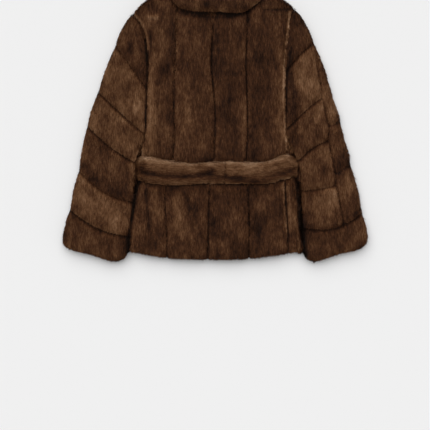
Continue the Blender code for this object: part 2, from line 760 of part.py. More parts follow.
def make_collar():
    left, right = COLLAR_ENDS
    ends = [1, 5, 12]
    xs = [left + x for x in ends] + list(np.linspace(left + 22, right - 22, 18))
    xs += [right - x for x in ends[::-1]]
    sections = [collar_section(x) for x in xs]
    count = len(sections[0])
    points = [point for section in sections for point in section]
    faces = [list(range(count)), [(len(xs) - 1) * count + i for i in range(count)][::-1]]
    for k in range(len(xs) - 1):
        for i in range(count):
            j = (i + 1) % count
            faces.append([k * count + j, k * count + i, (k + 1) * count + i, (k + 1) * count + j])
    return add_object("collar", points, faces, "collar")


def centre_on_origin():
    """Puts the middle of the jacket's box, at the ground, at the origin."""
    corners = np.array([v.co[:] for piece in collection.objects for v in piece.data.vertices])
    middle = (corners.min(axis=0) + corners.max(axis=0)) / 2
    for piece in collection.objects:
        for vertex in piece.data.vertices:
            vertex.co.x -= middle[0]
            vertex.co.y -= middle[1]


def main():
    for old in list(bpy.data.objects):
        bpy.data.objects.remove(old, do_unlink=True)
    bpy.context.scene.collection.children.link(collection)
    make_back()
    make_fronts()
    for side, word in ((-1, "left"), (1, "right")):
        sleeve = make_sleeve(side, f"sleeve_{word}")
        under = make_under_sleeve(sleeve, f"sleeve_{word}_under")
        if side > 0:
            wrap_sleeve(under, sleeve)
        make_belt(side, f"belt_{word}")
    wrap_front(bpy.data.objects["front_right"])
    make_collar()
    centre_on_origin()


main()
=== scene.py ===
"""Faux fur jacket with a turned-down collar and a belt, lying flat on a pale ground with its back up.

Each piece is a cloth on the form of its solid with its pile grown on it: locks combed along the
nap. The frame gives the sizes and places. Lengths are in metres, and places on the jacket are in
millimetres from the middle of the hem, x to the right and y towards the collar. Tones are places on
one scale of browns, from 0, the darkest, to 1.
"""

import math

import bmesh
import bpy
import numpy as np
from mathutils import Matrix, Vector, noise
from mathutils.bvhtree import BVHTree


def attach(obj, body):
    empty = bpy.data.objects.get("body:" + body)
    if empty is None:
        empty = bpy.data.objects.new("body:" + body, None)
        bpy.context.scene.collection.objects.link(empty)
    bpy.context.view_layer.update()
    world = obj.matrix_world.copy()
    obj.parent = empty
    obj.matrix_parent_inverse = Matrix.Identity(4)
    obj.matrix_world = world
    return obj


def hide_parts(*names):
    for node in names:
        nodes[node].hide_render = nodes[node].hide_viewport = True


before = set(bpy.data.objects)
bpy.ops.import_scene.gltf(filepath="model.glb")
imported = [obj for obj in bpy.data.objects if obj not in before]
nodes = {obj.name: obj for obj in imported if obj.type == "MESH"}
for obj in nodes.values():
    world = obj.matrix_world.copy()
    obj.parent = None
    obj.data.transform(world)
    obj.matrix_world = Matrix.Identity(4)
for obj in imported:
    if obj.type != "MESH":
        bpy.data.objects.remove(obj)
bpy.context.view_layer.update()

# ---------------------------------------------------------------------------------------------
# The back: four strips of pile fabric sewn edge to edge, the nap running down to the hem. The
# pile is acrylic, about 13 mm long on a fabric backing, and its guard hairs lie over each other
# in fine locks, darker at the root than at the tip. The seams show as grooves, darkened with
# painted shade.

MM = 0.001
HEM_MIDDLE = (-1.0, -357.9)  # where the middle of the hem's ends lies in the frame, in millimetres


def on_jacket(x, y):
    """A place on the jacket, in millimetres, as one in the frame, in metres."""
    return (x + HEM_MIDDLE[0]) * MM, (y + HEM_MIDDLE[1]) * MM


def linear(code):
    """An sRGB hex value as a linear colour."""
    parts = [int(code[i : i + 2], 16) / 255 for i in (1, 3, 5)]
    return tuple(c / 12.92 if c <= 0.04045 else ((c + 0.055) / 1.055) ** 2.4 for c in parts) + (1.0,)


def add_node(tree, kind, settings=(), inputs=(), links=()):
    """A node with its settings, its input values and the sockets that feed it."""
    node = tree.nodes.new(kind)
    for name, value in dict(settings).items():
        setattr(node, name, value)
    for key, value in dict(inputs).items():
        node.inputs[key].default_value = value
    for key, socket in dict(links).items():
        tree.links.new(socket, node.inputs[key])
    return node


def ramp_of(tree, value, stops):
    """A colour ramp over a value, from (place, hex colour) pairs."""
    node = add_node(tree, "ShaderNodeValToRGB", {}, {}, {"Fac": value})
    ramp = node.color_ramp
    for _ in range(len(stops) - 2):
        ramp.elements.new(0.5)
    for element, (position, code) in zip(ramp.elements, stops):
        element.position = position
        element.color = linear(code)
    return node.outputs["Color"]


# From the root of a hair in shadow to the tip of one in the light.
BROWNS = [
    (0.0, "#110702"), (0.2, "#2a160a"), (0.4, "#482b18"),
    (0.6, "#6c4a30"), (0.8, "#916d50"), (1.0, "#b99677"),
]
# Across and along the nap, in waves a metre, and how much each darkens and lightens the fur: the
# gaps between locks, tufts of locks, and larger places where the pile lies another way.
STREAKS = [(380.0, 80.0, 0.08), (110.0, 40.0, 0.05), (38.0, 20.0, 0.09)]
NOISE_LOW, NOISE_HIGH = 0.32, 0.68  # where nearly all of the noise's values lie


LOCK_SPREAD = 0.08  # of tone, between one lock and another
ROOT_DARK, TIP_LIGHT = 0.22, 0.05  # darker at the root of a lock and paler at its tip


def pile_material(name, nap_along_x=False):
    """Acrylic pile: soft and nearly without gloss, so rough and with little specular."""
    material = bpy.data.materials.new(name)
    material.use_nodes = True
    tree = material.node_tree
    shader = tree.nodes["Principled BSDF"]
    object_place = add_node(tree, "ShaderNodeTexCoord").outputs["Object"]
    parts = []
    for label, low, high in (("lock", -LOCK_SPREAD / 2, LOCK_SPREAD / 2), ("tip", -ROOT_DARK, TIP_LIGHT)):
        value = add_node(tree, "ShaderNodeAttribute", {"attribute_name": label}).outputs["Fac"]
        parts.append((value, 0.0, 1.0, low, high))
    for across, along, amount in STREAKS:
        scale = (along, across, along) if nap_along_x else (across, along, along)
        mapping = add_node(tree, "ShaderNodeMapping", {}, {"Scale": scale}, {"Vector": object_place})
        stretched = {"Vector": mapping.outputs["Vector"]}
        streaks = add_node(tree, "ShaderNodeTexNoise", {}, {"Scale": 1.0, "Detail": 1.0}, stretched)
        value = streaks.outputs["Fac"]
        parts.append((value, NOISE_LOW, NOISE_HIGH, -amount, amount))
    total = add_node(tree, "ShaderNodeAttribute", {"attribute_name": "shade"}).outputs["Fac"]
    for value, low, high, to_low, to_high in parts:
        values = {"From Min": low, "From Max": high, "To Min": to_low, "To Max": to_high}
        part = add_node(tree, "ShaderNodeMapRange", {}, values, {"Value": value}).outputs["Result"]
        total = add_node(
            tree, "ShaderNodeMath", {"operation": "ADD"}, {}, {0: total, 1: part}
        ).outputs["Value"]
    tree.links.new(ramp_of(tree, total, BROWNS), shader.inputs["Base Color"])
    shader.inputs["Roughness"].default_value = 0.6
    shader.inputs["Specular IOR Level"].default_value = 0.07
    return material


DOWN_GRAIN = (400.0, 90.0, 200.0)  # in waves a metre
DOWN_DARKEST, DOWN_PALEST = -0.4, -0.1  # beside the tone of the pile


def undercoat_material(name):
    """The short down between the locks, at the backing: matt and dark, with a fine grain."""
    material = bpy.data.materials.new(name)
    material.use_nodes = True
    tree = material.node_tree
    shader = tree.nodes["Principled BSDF"]
    object_place = add_node(tree, "ShaderNodeTexCoord").outputs["Object"]
    mapping = add_node(tree, "ShaderNodeMapping", {}, {"Scale": DOWN_GRAIN}, {"Vector": object_place})
    grain = add_node(
        tree, "ShaderNodeTexNoise", {}, {"Scale": 1.0, "Detail": 3.0}, {"Vector": mapping.outputs["Vector"]}
    ).outputs["Fac"]
    shade = add_node(tree, "ShaderNodeAttribute", {"attribute_name": "shade"}).outputs["Fac"]
    values = {"From Min": NOISE_LOW, "From Max": NOISE_HIGH, "To Min": DOWN_DARKEST, "To Max": DOWN_PALEST}
    part = add_node(tree, "ShaderNodeMapRange", {}, values, {"Value": grain}).outputs["Result"]
    total = add_node(tree, "ShaderNodeMath", {"operation": "ADD"}, {}, {0: shade, 1: part}).outputs["Value"]
    bump = add_node(tree, "ShaderNodeBump", {}, {"Strength": 0.5, "Distance": 0.002}, {"Height": grain})
    tree.links.new(ramp_of(tree, total, BROWNS), shader.inputs["Base Color"])
    tree.links.new(bump.outputs["Normal"], shader.inputs["Normal"])
    shader.inputs["Roughness"].default_value = 0.9
    shader.inputs["Specular IOR Level"].default_value = 0.1
    return material


LOCK_BOW = 0.34  # how far a lock bends: 0.085 of its length at its middle
LOCK_ROLL = 0.7  # in radians, the most that it turns about itself, either way


def combed_pile():
    """Geometry Nodes that grow locks on a backing. They read attributes of its points: nap, the way
    the pile lies; cover, where it grows; trim, its share of the full length. shade passes through."""
    tree = bpy.data.node_groups.new("combed_pile", "GeometryNodeTree")
    face = tree.interface
    face.new_socket("Backing", in_out="INPUT", socket_type="NodeSocketGeometry")
    for label, kind in (
        ("Locks per square metre", "NodeSocketFloat"),
        ("Length", "NodeSocketFloat"),
        ("Width", "NodeSocketFloat"),
        ("Lean", "NodeSocketFloat"),
        ("Stray", "NodeSocketFloat"),
        ("Seed", "NodeSocketInt"),
        ("Finish", "NodeSocketMaterial"),
    ):
        face.new_socket(label, in_out="INPUT", socket_type=kind)
    face.new_socket("Pile", in_out="OUTPUT", socket_type="NodeSocketGeometry")
    into = add_node(tree, "NodeGroupInput").outputs

    def attribute(name, kind="FLOAT"):
        node = add_node(tree, "GeometryNodeInputNamedAttribute", {"data_type": kind}, {"Name": name})
        return node.outputs["Attribute"]

    def calculate(kind, operation, *values):
        node = add_node(tree, kind, {"operation": operation})
        for i, value in enumerate(values):
            if isinstance(value, (int, float)):
                node.inputs[i].default_value = value
            elif value is not None:
                tree.links.new(value, node.inputs[i])
        return node

    def number(operation, *values):
        return calculate("ShaderNodeMath", operation, *values).outputs["Value"]

    def vector(operation, *values):
        node = calculate("ShaderNodeVectorMath", operation, *values)
        return node.outputs["Value" if operation == "DOT_PRODUCT" else "Vector"]

    def scaled(value, factor):
        node = add_node(tree, "ShaderNodeVectorMath", {"operation": "SCALE"}, {}, {0: value, "Scale": factor})
        return node.outputs["Vector"]

    def chance(low, high, draw):
        kind, first = ("FLOAT_VECTOR", 0) if isinstance(low, tuple) else ("FLOAT", 2)
        node = add_node(tree, "FunctionNodeRandomValue", {"data_type": kind})
        node.inputs[first].default_value, node.inputs[first + 1].default_value = low, high
        tree.links.new(number("ADD", into["Seed"], draw), node.inputs["Seed"])
        return node.outputs[0 if first == 0 else 1]

    density = number("MULTIPLY", into["Locks per square metre"], attribute("cover"))
    roots = add_node(
        tree,
        "GeometryNodeDistributePointsOnFaces",
        {"distribute_method": "RANDOM"},
        {},
        {"Mesh": into["Backing"], "Density": density, "Seed": into["Seed"]},
    ).outputs
    # The nap, laid into the surface, then raised by the lean and strayed a little.
    nap, normal = attribute("nap", "FLOAT_VECTOR"), roots["Normal"]
    flat = vector("NORMALIZE", vector("SUBTRACT", nap, scaled(normal, vector("DOT_PRODUCT", nap, normal))))
    stray = scaled(chance((-1.0, -1.0, -0.6), (1.0, 1.0, 0.6), 11), into["Stray"])
    lie = vector("NORMALIZE", vector("ADD", vector("ADD", flat, scaled(normal, into["Lean"])), stray))
    turned = add_node(
        tree,
        "FunctionNodeAxesToRotation",
        {"primary_axis": "Y", "secondary_axis": "Z"},
        {},
        {"Primary Axis": lie, "Secondary Axis": normal},
    )
    roll = add_node(tree, "ShaderNodeCombineXYZ", {}, {}, {"Y": chance(-LOCK_ROLL, LOCK_ROLL, 23)})
    rolled = add_node(
        tree,
        "FunctionNodeRotateRotation",
        {"rotation_space": "LOCAL"},
        {},
        {"Rotation": turned.outputs["Rotation"], "Rotate By": roll.outputs["Vector"]},
    )
    # One lock: a four-cornered blade from its root at the origin to its tip at y = 1, bent down.
    blade = add_node(tree, "GeometryNodeMeshCircle", {"fill_type": "NGON"}, {"Vertices": 4, "Radius": 0.5})
    here = add_node(tree, "GeometryNodeInputPosition").outputs["Position"]
    axes = add_node(tree, "ShaderNodeSeparateXYZ", {}, {}, {"Vector": here}).outputs
    along = number("ADD", axes["Y"], 0.5)
    bow = number("MULTIPLY", number("MULTIPLY", along, number("SUBTRACT", 1.0, along)), LOCK_BOW)
    curved = add_node(tree, "ShaderNodeCombineXYZ", {}, {}, {"X": axes["X"], "Y": along, "Z": bow})
    blade = add_node(
        tree,
        "GeometryNodeSetPosition",
        {},
        {},
        {"Geometry": blade.outputs["Mesh"], "Position": curved.outputs["Vector"]},
    )
    blade = add_node(
        tree,
        "GeometryNodeStoreNamedAttribute",
        {"data_type": "FLOAT", "domain": "POINT"},
        {"Name": "tip"},
        {"Geometry": blade.outputs["Geometry"], "Value": axes["Y"]},
    )
    length = number("MULTIPLY", number("MULTIPLY", into["Length"], attribute("trim")), chance(0.7, 1.15, 37))
    width = number("MULTIPLY", into["Width"], chance(0.7, 1.3, 41))
    size = add_node(tree, "ShaderNodeCombineXYZ", {}, {}, {"X": width, "Y": length, "Z": length})
    locks = add_node(
        tree,
        "GeometryNodeInstanceOnPoints",
        {},
        {},
        {
            "Points": roots["Points"],
            "Instance": blade.outputs["Geometry"],
            "Rotation": rolled.outputs["Rotation"],
            "Scale": size.outputs["Vector"],
        },
    )
    marked = add_node(
        tree,
        "GeometryNodeStoreNamedAttribute",
        {"data_type": "FLOAT", "domain": "INSTANCE"},
        {"Name": "lock"},
        {"Geometry": locks.outputs["Instances"], "Value": chance(0.0, 1.0, 53)},
    )
    real = add_node(tree, "GeometryNodeRealizeInstances", {}, {}, {"Geometry": marked.outputs["Geometry"]})
    finished = add_node(
        tree,
        "GeometryNodeSetMaterial",
        {},
        {},
        {"Geometry": real.outputs["Geometry"], "Material": into["Finish"]},
    )
    add_node(tree, "NodeGroupOutput", {}, {}, {"Pile": finished.outputs["Geometry"]})
    return tree


PILE_TREE = combed_pile()
GROUND_CLEARANCE = 0.0004
LEAN = 0.38  # how steeply the locks rise from the backing, as a slope


def grow(backing, name, finish, seed, density=570000.0, length=0.0135, width=0.00155, stray=0.13):
    """The pile of one piece as a mesh of its own. Where it reaches the ground it lies on it. density
    is in locks a square metre, and stray is how far they leave the nap, as a slope."""
    modifier = backing.modifiers.new("pile", "NODES")
    modifier.node_group = PILE_TREE
    values = {
        "Locks per square metre": density,
        "Length": length,
        "Width": width,
        "Lean": LEAN,
        "Stray": stray,
        "Seed": seed,
        "Finish": finish,
    }
    for item in PILE_TREE.interface.items_tree:
        if item.in_out == "INPUT" and item.name in values:
            modifier[item.identifier] = values[item.name]
    evaluated = backing.evaluated_get(bpy.context.evaluated_depsgraph_get())
    mesh = bpy.data.meshes.new_from_object(evaluated)
    backing.modifiers.remove(modifier)
    mesh.name = name
    points = np.empty(len(mesh.vertices) * 3)
    mesh.vertices.foreach_get("co", points)
    points[2::3] = np.maximum(points[2::3], GROUND_CLEARANCE)
    mesh.vertices.foreach_set("co", points)
    pile = bpy.data.objects.new(name, mesh)
    bpy.context.scene.collection.objects.link(pile)
    return pile


SAME_PLACE = 1e-6


def cloth_on(node_name, name, voxel):
    """A fine closed mesh on the form of a solid."""
    mesh = nodes[node_name].data.copy()
    work = bmesh.new()
    work.from_mesh(mesh)
    bmesh.ops.remove_doubles(work, verts=work.verts, dist=SAME_PLACE)
    work.to_mesh(mesh)
    work.free()
    rough = bpy.data.objects.new(name, mesh)
    bpy.context.scene.collection.objects.link(rough)
    remesh = rough.modifiers.new("remesh", "REMESH")
    remesh.mode = "VOXEL"
    remesh.voxel_size = voxel
    smooth = rough.modifiers.new("smooth", "SMOOTH")
    smooth.factor = 0.5
    smooth.iterations = 2
    fine = bpy.data.meshes.new_from_object(rough.evaluated_get(bpy.context.evaluated_depsgraph_get()))
    bpy.data.objects.remove(rough)
    fine.name = name
    fine.materials.clear()
    fine.shade_smooth()
    cloth = bpy.data.objects.new(name, fine)
    bpy.context.scene.collection.objects.link(cloth)
    return cloth


def ease(values, low, high):
    """0 below low, 1 above high, smooth between."""
    t = np.clip((values - low) / (high - low), 0, 1)
    return t * t * (3 - 2 * t)


def beside_line(points, corners):
    """Distance on the ground of each point from a bent line on the jacket."""
    corners = np.array([on_jacket(x, y) for x, y in corners])
    nearest = np.full(len(points), np.inf)
    for start, end in zip(corners, corners[1:]):
        run = end - start
        t = np.clip((points[:, :2] - start) @ run / (run @ run), 0, 1)
        away = np.linalg.norm(points[:, :2] - start - t[:, None] * run, axis=1)
        nearest = np.minimum(nearest, away)
    return nearest


def along_creases(points, creases):
    """Creases summed over the points: each is its corners and its half width, in millimetres, and
    an amount, below 0 for a groove and above 0 for a ridge. The sum shapes the cloth a little and
    is also added to its colour: painted shade in the grooves and painted highlights on the ridges."""
    total = np.zeros(len(points))
    for corners, half_width, amount in creases:
        total += amount * np.exp(-((beside_line(points, corners) / (half_width * MM)) ** 2))
    return total


def in_patches(points, spots):
    """Soft patches summed over the points: each is (x, y, half width, half height, amount)."""
    total = np.zeros(len(points))
    for x, y, across, up, amount in spots:
        x, y = on_jacket(x, y)
        far = ((points[:, 0] - x) / (across * MM)) ** 2 + ((points[:, 1] - y) / (up * MM)) ** 2
        total += amount * np.exp(-far)
    return total


FAR = 0.03  # further than this nothing beside a piece matters to it


def all_but(node_name):
    """A search tree over the solids of the other pieces."""
    points, faces = [], []
    for other, node in nodes.items():
        if other != node_name:
            start = len(points)
            points += [vertex.co for vertex in node.data.vertices]
            faces += [[start + i for i in face.vertices] for face in node.data.polygons]
    return BVHTree.FromPolygons(points, faces)


VOXEL = 0.0034  # of the cloth's mesh
BED = 0.0026  # how far the backing lies inside the form, which is that of the pile
OVERHANG = 0.0036  # how far the backing stops short of an edge that the pile runs over
DRAWN_UP = 0.03  # how much of the backing above such an edge is drawn up with it
PUFF = 0.0022  # how far a piece swells beside a seam
WAVES = 0.0009  # height of the soft unevenness of the cloth
WAVE_SCALE = 32.0  # its waves a metre
CREASE_HEIGHT = 0.006  # of a crease whose amount is 1
SEAM_HALF_WIDTH = 0.003
PAINTED_SIDE_LIGHT = 0.14  # painted light: how much paler the steep sides are
PAINTED_DEEP_SHADE = 0.36  # painted shade: how much darker they are low down between two pieces
DEEP_LOW, DEEP_HIGH = 0.010, 0.022  # heights where that shade is full, and where it ends
REACH = 0.009  # how far the sides of a piece look for one to meet
UNDER_REACH = 0.018  # the same for the lower layer
STEEP = 0.6  # a normal that rises less than this is that of a side
# Each of these is a pair, below the first 0 and above the second 1, with a soft step between.
LEVEL = (0.4, 0.9)  # rise of a normal, from that of a side to that of a face above or below
ABOVE = (0.2, 0.7)  # the same, to that of the face above
LIT = (0.0, 0.8)  # the same, to where the painted light on a side ends
NOT_BELOW = (-0.8, -0.4)  # rise of a normal, from that of the face below
PILED = (-0.75, -0.3)  # the same, to where pile grows
FREE = (0.0006, 0.003)  # gap to the next piece, from touching to free of it
BARE = (0.0008, 0.003)  # the same, to where pile grows beside a seam
APART = (0.006, 0.014)  # the same, to where nothing is near enough to matter
FULL_LENGTH = (0.0, 0.010)  # the same, to where the pile has its full length
SQUARE_ON = (0.2, 0.7)  # how squarely a side faces the next piece
OVER_EDGE = (0.2, 0.8)  # how far the nap runs out over an edge
SEAM_TRIM, EDGE_TRIM = 0.5, 0.55  # shares of the pile's length that seams and such edges take
EDGE_DROP = 0.5  # how steeply the pile hangs down over an edge


def look_round(points, normals, ways, mesh, others, reach):
    """What each point of a piece has about it: the gap to the nearest other piece; how squarely it
    faces that one; for the sides, half of the way to a piece within reach, 0 where there is none,
    and whether any lies beside them; and how near it is to an open edge that the pile runs over."""
    own = BVHTree.FromPolygons([*map(Vector, points)], [face.vertices for face in mesh.polygons])
    gaps, facing, meet, shut, ending = np.full(len(points), FAR), *np.zeros((4, len(points)))
    for i, point in enumerate(points):
        place, _, _, gap = others.find_nearest(point, FAR)
        if place is not None:
            gaps[i] = gap
            facing[i] = (np.array(place) - point) @ normals[i] / max(gap, SAME_PLACE)
        if abs(normals[i, 2]) < STEEP:
            meet[i] = (others.ray_cast(point, normals[i], reach)[3] or 0.0) / 2
            shut[i] = others.ray_cast(point, (*normals[i, :2], 0.0), FAR)[3] is not None
        way = (*ways[i], 0.0)
        edge, _, _, away = own.ray_cast(point - normals[i] * MM, way, DRAWN_UP)
        if edge is not None and others.ray_cast(edge, way, FAR)[3] is None:
            ending[i] = 1 - away / DRAWN_UP
    return gaps, facing, meet, shut, ending


def dress(
    node_name,
    finish,
    tone,
    nap,
    spots=(),
    creases=(),
    seam_shade=0.1,
    overhang=OVERHANG,
    reach=REACH,
    voxel=VOXEL,
    seed=1,
    **pile,
):
    """Makes the cloth and the pile of one piece, in the place of its solid.

    nap gives the way that the pile runs at each point, seen from above. spots are patches where it
    is paler or darker: some of its own tone, and painted highlights and shade where the pile lies
    another way. creases shape the cloth a little and paint shade and highlights into it. seam is the
    painted shade along its seams and where it lies against another piece. Its sides swell to meet
    those of the pieces within reach."""
    cloth = cloth_on(node_name, node_name + "_cloth", voxel)
    mesh = cloth.data
    points, normals = np.empty(len(mesh.vertices) * 3), np.empty(len(mesh.vertices) * 3)
    mesh.vertices.foreach_get("co", points)
    mesh.vertex_normals.foreach_get("vector", normals)
    points, normals = points.reshape(-1, 3), normals.reshape(-1, 3)
    rise = normals[:, 2]
    ways = nap(points)
    runs_out = (ways * normals[:, :2]).sum(axis=1)
    gaps, facing, meet, shut, ending = look_round(points, normals, ways, mesh, all_but(node_name), reach)

    # The backing lies inside the form where nothing touches it, and the face below stays where it is.
    side = 1 - ease(np.abs(rise), *LEVEL)
    outer = np.maximum(ease(gaps, *APART), side * (1 - shut))
    free = ease(gaps, *FREE) * (1 - side) + outer * side
    uneven = np.array([noise.noise(Vector(point) * WAVE_SCALE) for point in points])
    lift = (WAVES * uneven - BED) * free
    by_seam = np.exp(-((gaps / SEAM_HALF_WIDTH) ** 2))
    lift += PUFF * (1 - ease(facing, *SQUARE_ON)) * by_seam
    lift = np.where(meet > 0, meet, lift)
    points = points + normals * (lift * ease(rise, *NOT_BELOW))[:, None]
    points[:, :2] -= ways * (overhang * ease(ending, 0, 1))[:, None]
    # Heights of the creases, which also paint shade and highlights into the colour.
    crease_relief_and_painted_light = along_creases(points, creases)
    points[:, 2] += crease_relief_and_painted_light * CREASE_HEIGHT * ease(rise, *ABOVE)
    points[:, 2] = np.maximum(points[:, 2], GROUND_CLEARANCE)
    mesh.vertices.foreach_set("co", points.ravel())
    mesh.update()

    # The pile is shorter in the seams and at the edges that it runs over, and none grows below.
    # Where painted shade falls: low on the sides that have another piece beside them.
    deep_shade_mask = (1 - ease(points[:, 2], DEEP_LOW, DEEP_HIGH)) * shut
    values = {
        "cover": ease(gaps, *BARE) * ease(rise, *PILED),
        "trim": (1 - SEAM_TRIM + SEAM_TRIM * ease(gaps, *FULL_LENGTH))
        * (1 - EDGE_TRIM * ease(runs_out, *OVER_EDGE)),
        # The colour: tone, patches that are partly painted light, and painted shade and highlights from the
        # creases, the seams, the steep sides and the low sides between pieces.
        "shade": tone
        + in_patches(points, spots)
        + crease_relief_and_painted_light
        - seam_shade * by_seam
        + PAINTED_SIDE_LIGHT * (1 - ease(rise, *LIT))
        - PAINTED_DEEP_SHADE * deep_shade_mask,
    }
    for label, numbers in values.items():
        mesh.attributes.new(label, "FLOAT", "POINT").data.foreach_set("value", numbers)
    ways = np.column_stack([ways, -EDGE_DROP * runs_out])
    mesh.attributes.new("nap", "FLOAT_VECTOR", "POINT").data.foreach_set("vector", ways.ravel())
    mesh.materials.append(undercoat)
    pieces = (cloth, grow(cloth, node_name + "_pile", finish, seed, **pile))
    for piece in pieces:
        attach(piece, "root")
        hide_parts(node_name)
    return pieces


def down(points):
    """The nap of the body, straight down to the hem."""
    return np.tile([0.0, -1.0], (len(points), 1))


undercoat = undercoat_material("brown_undercoat")
back_pile = pile_material("brown_acrylic_pile_of_the_back")

# name, tone, cut width and length, cut area
BACK_STRIPS = [
    ("back_1", 0.45, (0.125, 0.72), 0.061),
    ("back_2", 0.43, (0.132, 0.725), 0.08),
    ("back_3", 0.37, (0.11, 0.725), 0.073),
    ("back_4", 0.4, (0.123, 0.72), 0.076),
]
# Painted highlights and shade where the pile lies another way and catches the light differently,
# # with some of its own tone, strip by strip from the left.
BACK_SPOTS = [
    (-164, 365, 13, 94, 0.2), (-163, 462, 10, 36, 0.12), (-132, 480, 18, 23, -0.1),
    (-114, 396, 10, 130, -0.08), (-147, 306, 13, 31, -0.1), (-121, 272, 16, 21, -0.1),
    (-108, 578, 10, 52, -0.2), (-158, 620, 16, 8, 0.14), (-189, 124, 10, 52, 0.05),
    (-153, 136, 13, 36, 0.07), (-158, 30, 18, 21, -0.24), (-75, 404, 13, 16, 0.1),
    (-75, 332, 16, 57, 0.1), (-64, 493, 34, 21, -0.07), (-49, 384, 8, 26, -0.06), (-17, 277, 8, 10, 0.14),
    (-20, 251, 21, 10, -0.15), (-28, 370, 13, 26, 0.05), (-95, 105, 13, 57, 0.16),
    (-51, 124, 13, 26, -0.08), (-25, 162, 21, 16, -0.05), (-103, 170, 36, 8, -0.14),
    (6, 592, 10, 21, -0.06), (24, 488, 21, 52, -0.08), (37, 358, 21, 65, -0.1), (75, 500, 8, 130, 0.12),
    (75, 344, 8, 65, 0.12), (55, 318, 13, 39, -0.06), (40, 261, 21, 13, -0.1), (3, 84, 16, 31, -0.1),
    (66, 64, 10, 16, 0.08), (40, 124, 21, 26, -0.02), (-33, 60, 8, 30, -0.1), (115, 514, 16, 26, -0.14),
    (162, 485, 10, 26, -0.12), (100, 370, 10, 104, -0.06), (172, 436, 8, 156, 0.12),
    (162, 370, 16, 52, 0.08), (102, 266, 13, 31, -0.1), (128, 280, 10, 16, 0.06),
    (110, 64, 16, 34, -0.22), (102, 14, 13, 23, -0.1), (123, 124, 13, 21, 0.06),
    (159, 124, 13, 36, -0.12), (113, 170, 26, 8, -0.12), (-167, 390, 8, 60, 0.1),
    (-113, 540, 12, 30, -0.1), (-167, 570, 10, 16, -0.12), (-155, 525, 10, 16, 0.1),
    (-34, 484, 8, 26, -0.1), (-186, 262, 8, 14, 0.25), (-22, 520, 14, 20, -0.06), (-74, 617, 16, 8, 0.1),
    (89, 605, 10, 30, -0.12), (133, 575, 8, 30, 0.08), (-81, 284, 18, 26, 0.08), (158, 330, 16, 40, 0.08),
]
# Painted highlights on the ridges along the armholes and painted shade in the clefts beside them.
LEFT_ARMHOLE = [
    ([(-205, 623), (-189, 604), (-179, 584), (-172, 558), (-172, 534)], 2.8, 0.28),
    ([(-180, 558), (-176, 514), (-175, 462), (-177, 422), (-179, 370), (-180, 324)], 3.5, -0.4),
]
RIGHT_ARMHOLE = [
    ([(194, 630), (191, 584), (185, 540), (181, 488), (180, 436)], 3.0, 0.5),
    ([(198, 540), (191, 500), (187, 436), (188, 370)], 4.0, -0.3),
]
# Painted shade in the deep gaps between the body and the sleeves, below the belt.
LEFT_GAP = ([(-197, 186), (-205, 150), (-212, 110), (-223, 46), (-225, 7)], 5.5, -0.5)
RIGHT_GAP = ([(214, 183), (219, 137), (222, 85), (230, 33), (235, 1)], 6.5, -0.5)
BACK_CREASES = [
    LEFT_GAP,
    RIGHT_GAP,
    *LEFT_ARMHOLE,
    ([(-167, 584), (-164, 540)], 3.0, -0.2),
    *RIGHT_ARMHOLE,
    ([(179, 436), (180, 370), (183, 306), (188, 272)], 3.2, 0.32),
    # The shoulders: painted highlights on their folds and painted shade between them.
    ([(128, 645), (170, 645)], 2.8, 0.15),
    ([(128, 637), (191, 637)], 2.6, -0.22),
    ([(133, 628), (193, 628)], 2.8, 0.12),
    # Along the seams between the strips: painted highlights on their ridges and painted shade in their
    # grooves.
    ([(-170, 617), (-146, 616)], 2.8, 0.25),
    ([(-97, 625), (-99, 573), (-99, 526)], 2.8, 0.2),
    ([(-105, 410), (-108, 318), (-110, 266)], 2.8, -0.14),
    ([(-129, 136), (-121, 72), (-123, -9)], 2.8, -0.14),
    ([(-7, 566), (-8, 500), (-4, 436), (2, 384), (1, 306)], 2.6, -0.22),
    ([(-16, 162), (-17, 6)], 2.8, -0.16),
    ([(84, 552), (81, 500), (83, 436), (85, 344), (85, 292), (81, 246)], 2.8, -0.22),
    ([(88, 168), (90, 98), (92, 46)], 3.0, -0.2),
    ([(93, 72), (94, 6)], 2.6, 0.12),
    # Painted shadow under the collar, and painted shade in the folds that hang from the belt.
    ([(-101, 630), (-64, 620), (-7, 615), (53, 618), (92, 633)], 5.0, -0.2),
    ([(-179, 168), (-173, 124), (-171, 72)], 4.5, -0.2),
    ([(-77, 162), (-67, 136), (-64, 98), (-49, 58), (-43, 27)], 6.0, -0.12),
    # The right side seam below the belt: painted highlights on its ridges and painted shade in its groove.
    ([(178, 183), (181, 124), (185, 79), (188, 46)], 3.0, 0.34),
    ([(184, 183), (185, 124), (191, 58), (192, 12)], 2.4, -0.35),
    ([(193, 183), (195, 130), (197, 60)], 3.0, 0.2),
    ([(206, 105), (214, 58), (219, 17)], 2.6, 0.22),
]
for seed, (name, tone, cut, area) in enumerate(BACK_STRIPS, 10):
    cloth, pile = dress(name, back_pile, tone, down, BACK_SPOTS, BACK_CREASES, seam_shade=0.05, seed=seed)

# ---------------------------------------------------------------------------------------------
# The fronts: two panels of the same pile fabric under the back. Only their edges show, and a
# narrow strip of the right one, which wraps round on to the back beside the right side seam.

# name, tone, cut width and length, cut area
FRONTS = [("front_left", 0.36, (0.22, 0.72), 0.143), ("front_right", 0.42, (0.225, 0.725), 0.155)]
UNDER_VOXEL = 0.0042
for seed, (name, tone, cut, area) in enumerate(FRONTS, 20):
    cloth, pile = dress(
        name,
        back_pile,
        tone,
        down,
        BACK_SPOTS,
        BACK_CREASES,
        reach=UNDER_REACH,
        voxel=UNDER_VOXEL,
        seed=seed,
    )

# ---------------------------------------------------------------------------------------------
# The sleeves: six slanted bands each, sewn one below the other, over a plain under half. The pile
# runs down to the cuff. The right under half wraps round the arm's outer side on to the back.

sleeve_pile = pile_material("brown_acrylic_pile_of_the_sleeves")


ARM_NEAR, ARM_FAR = 0.2, 0.35  # from the middle of the jacket
SLANT_NEAR, SLANT_FAR = 0.1, 0.32  # how far out the nap goes for one down


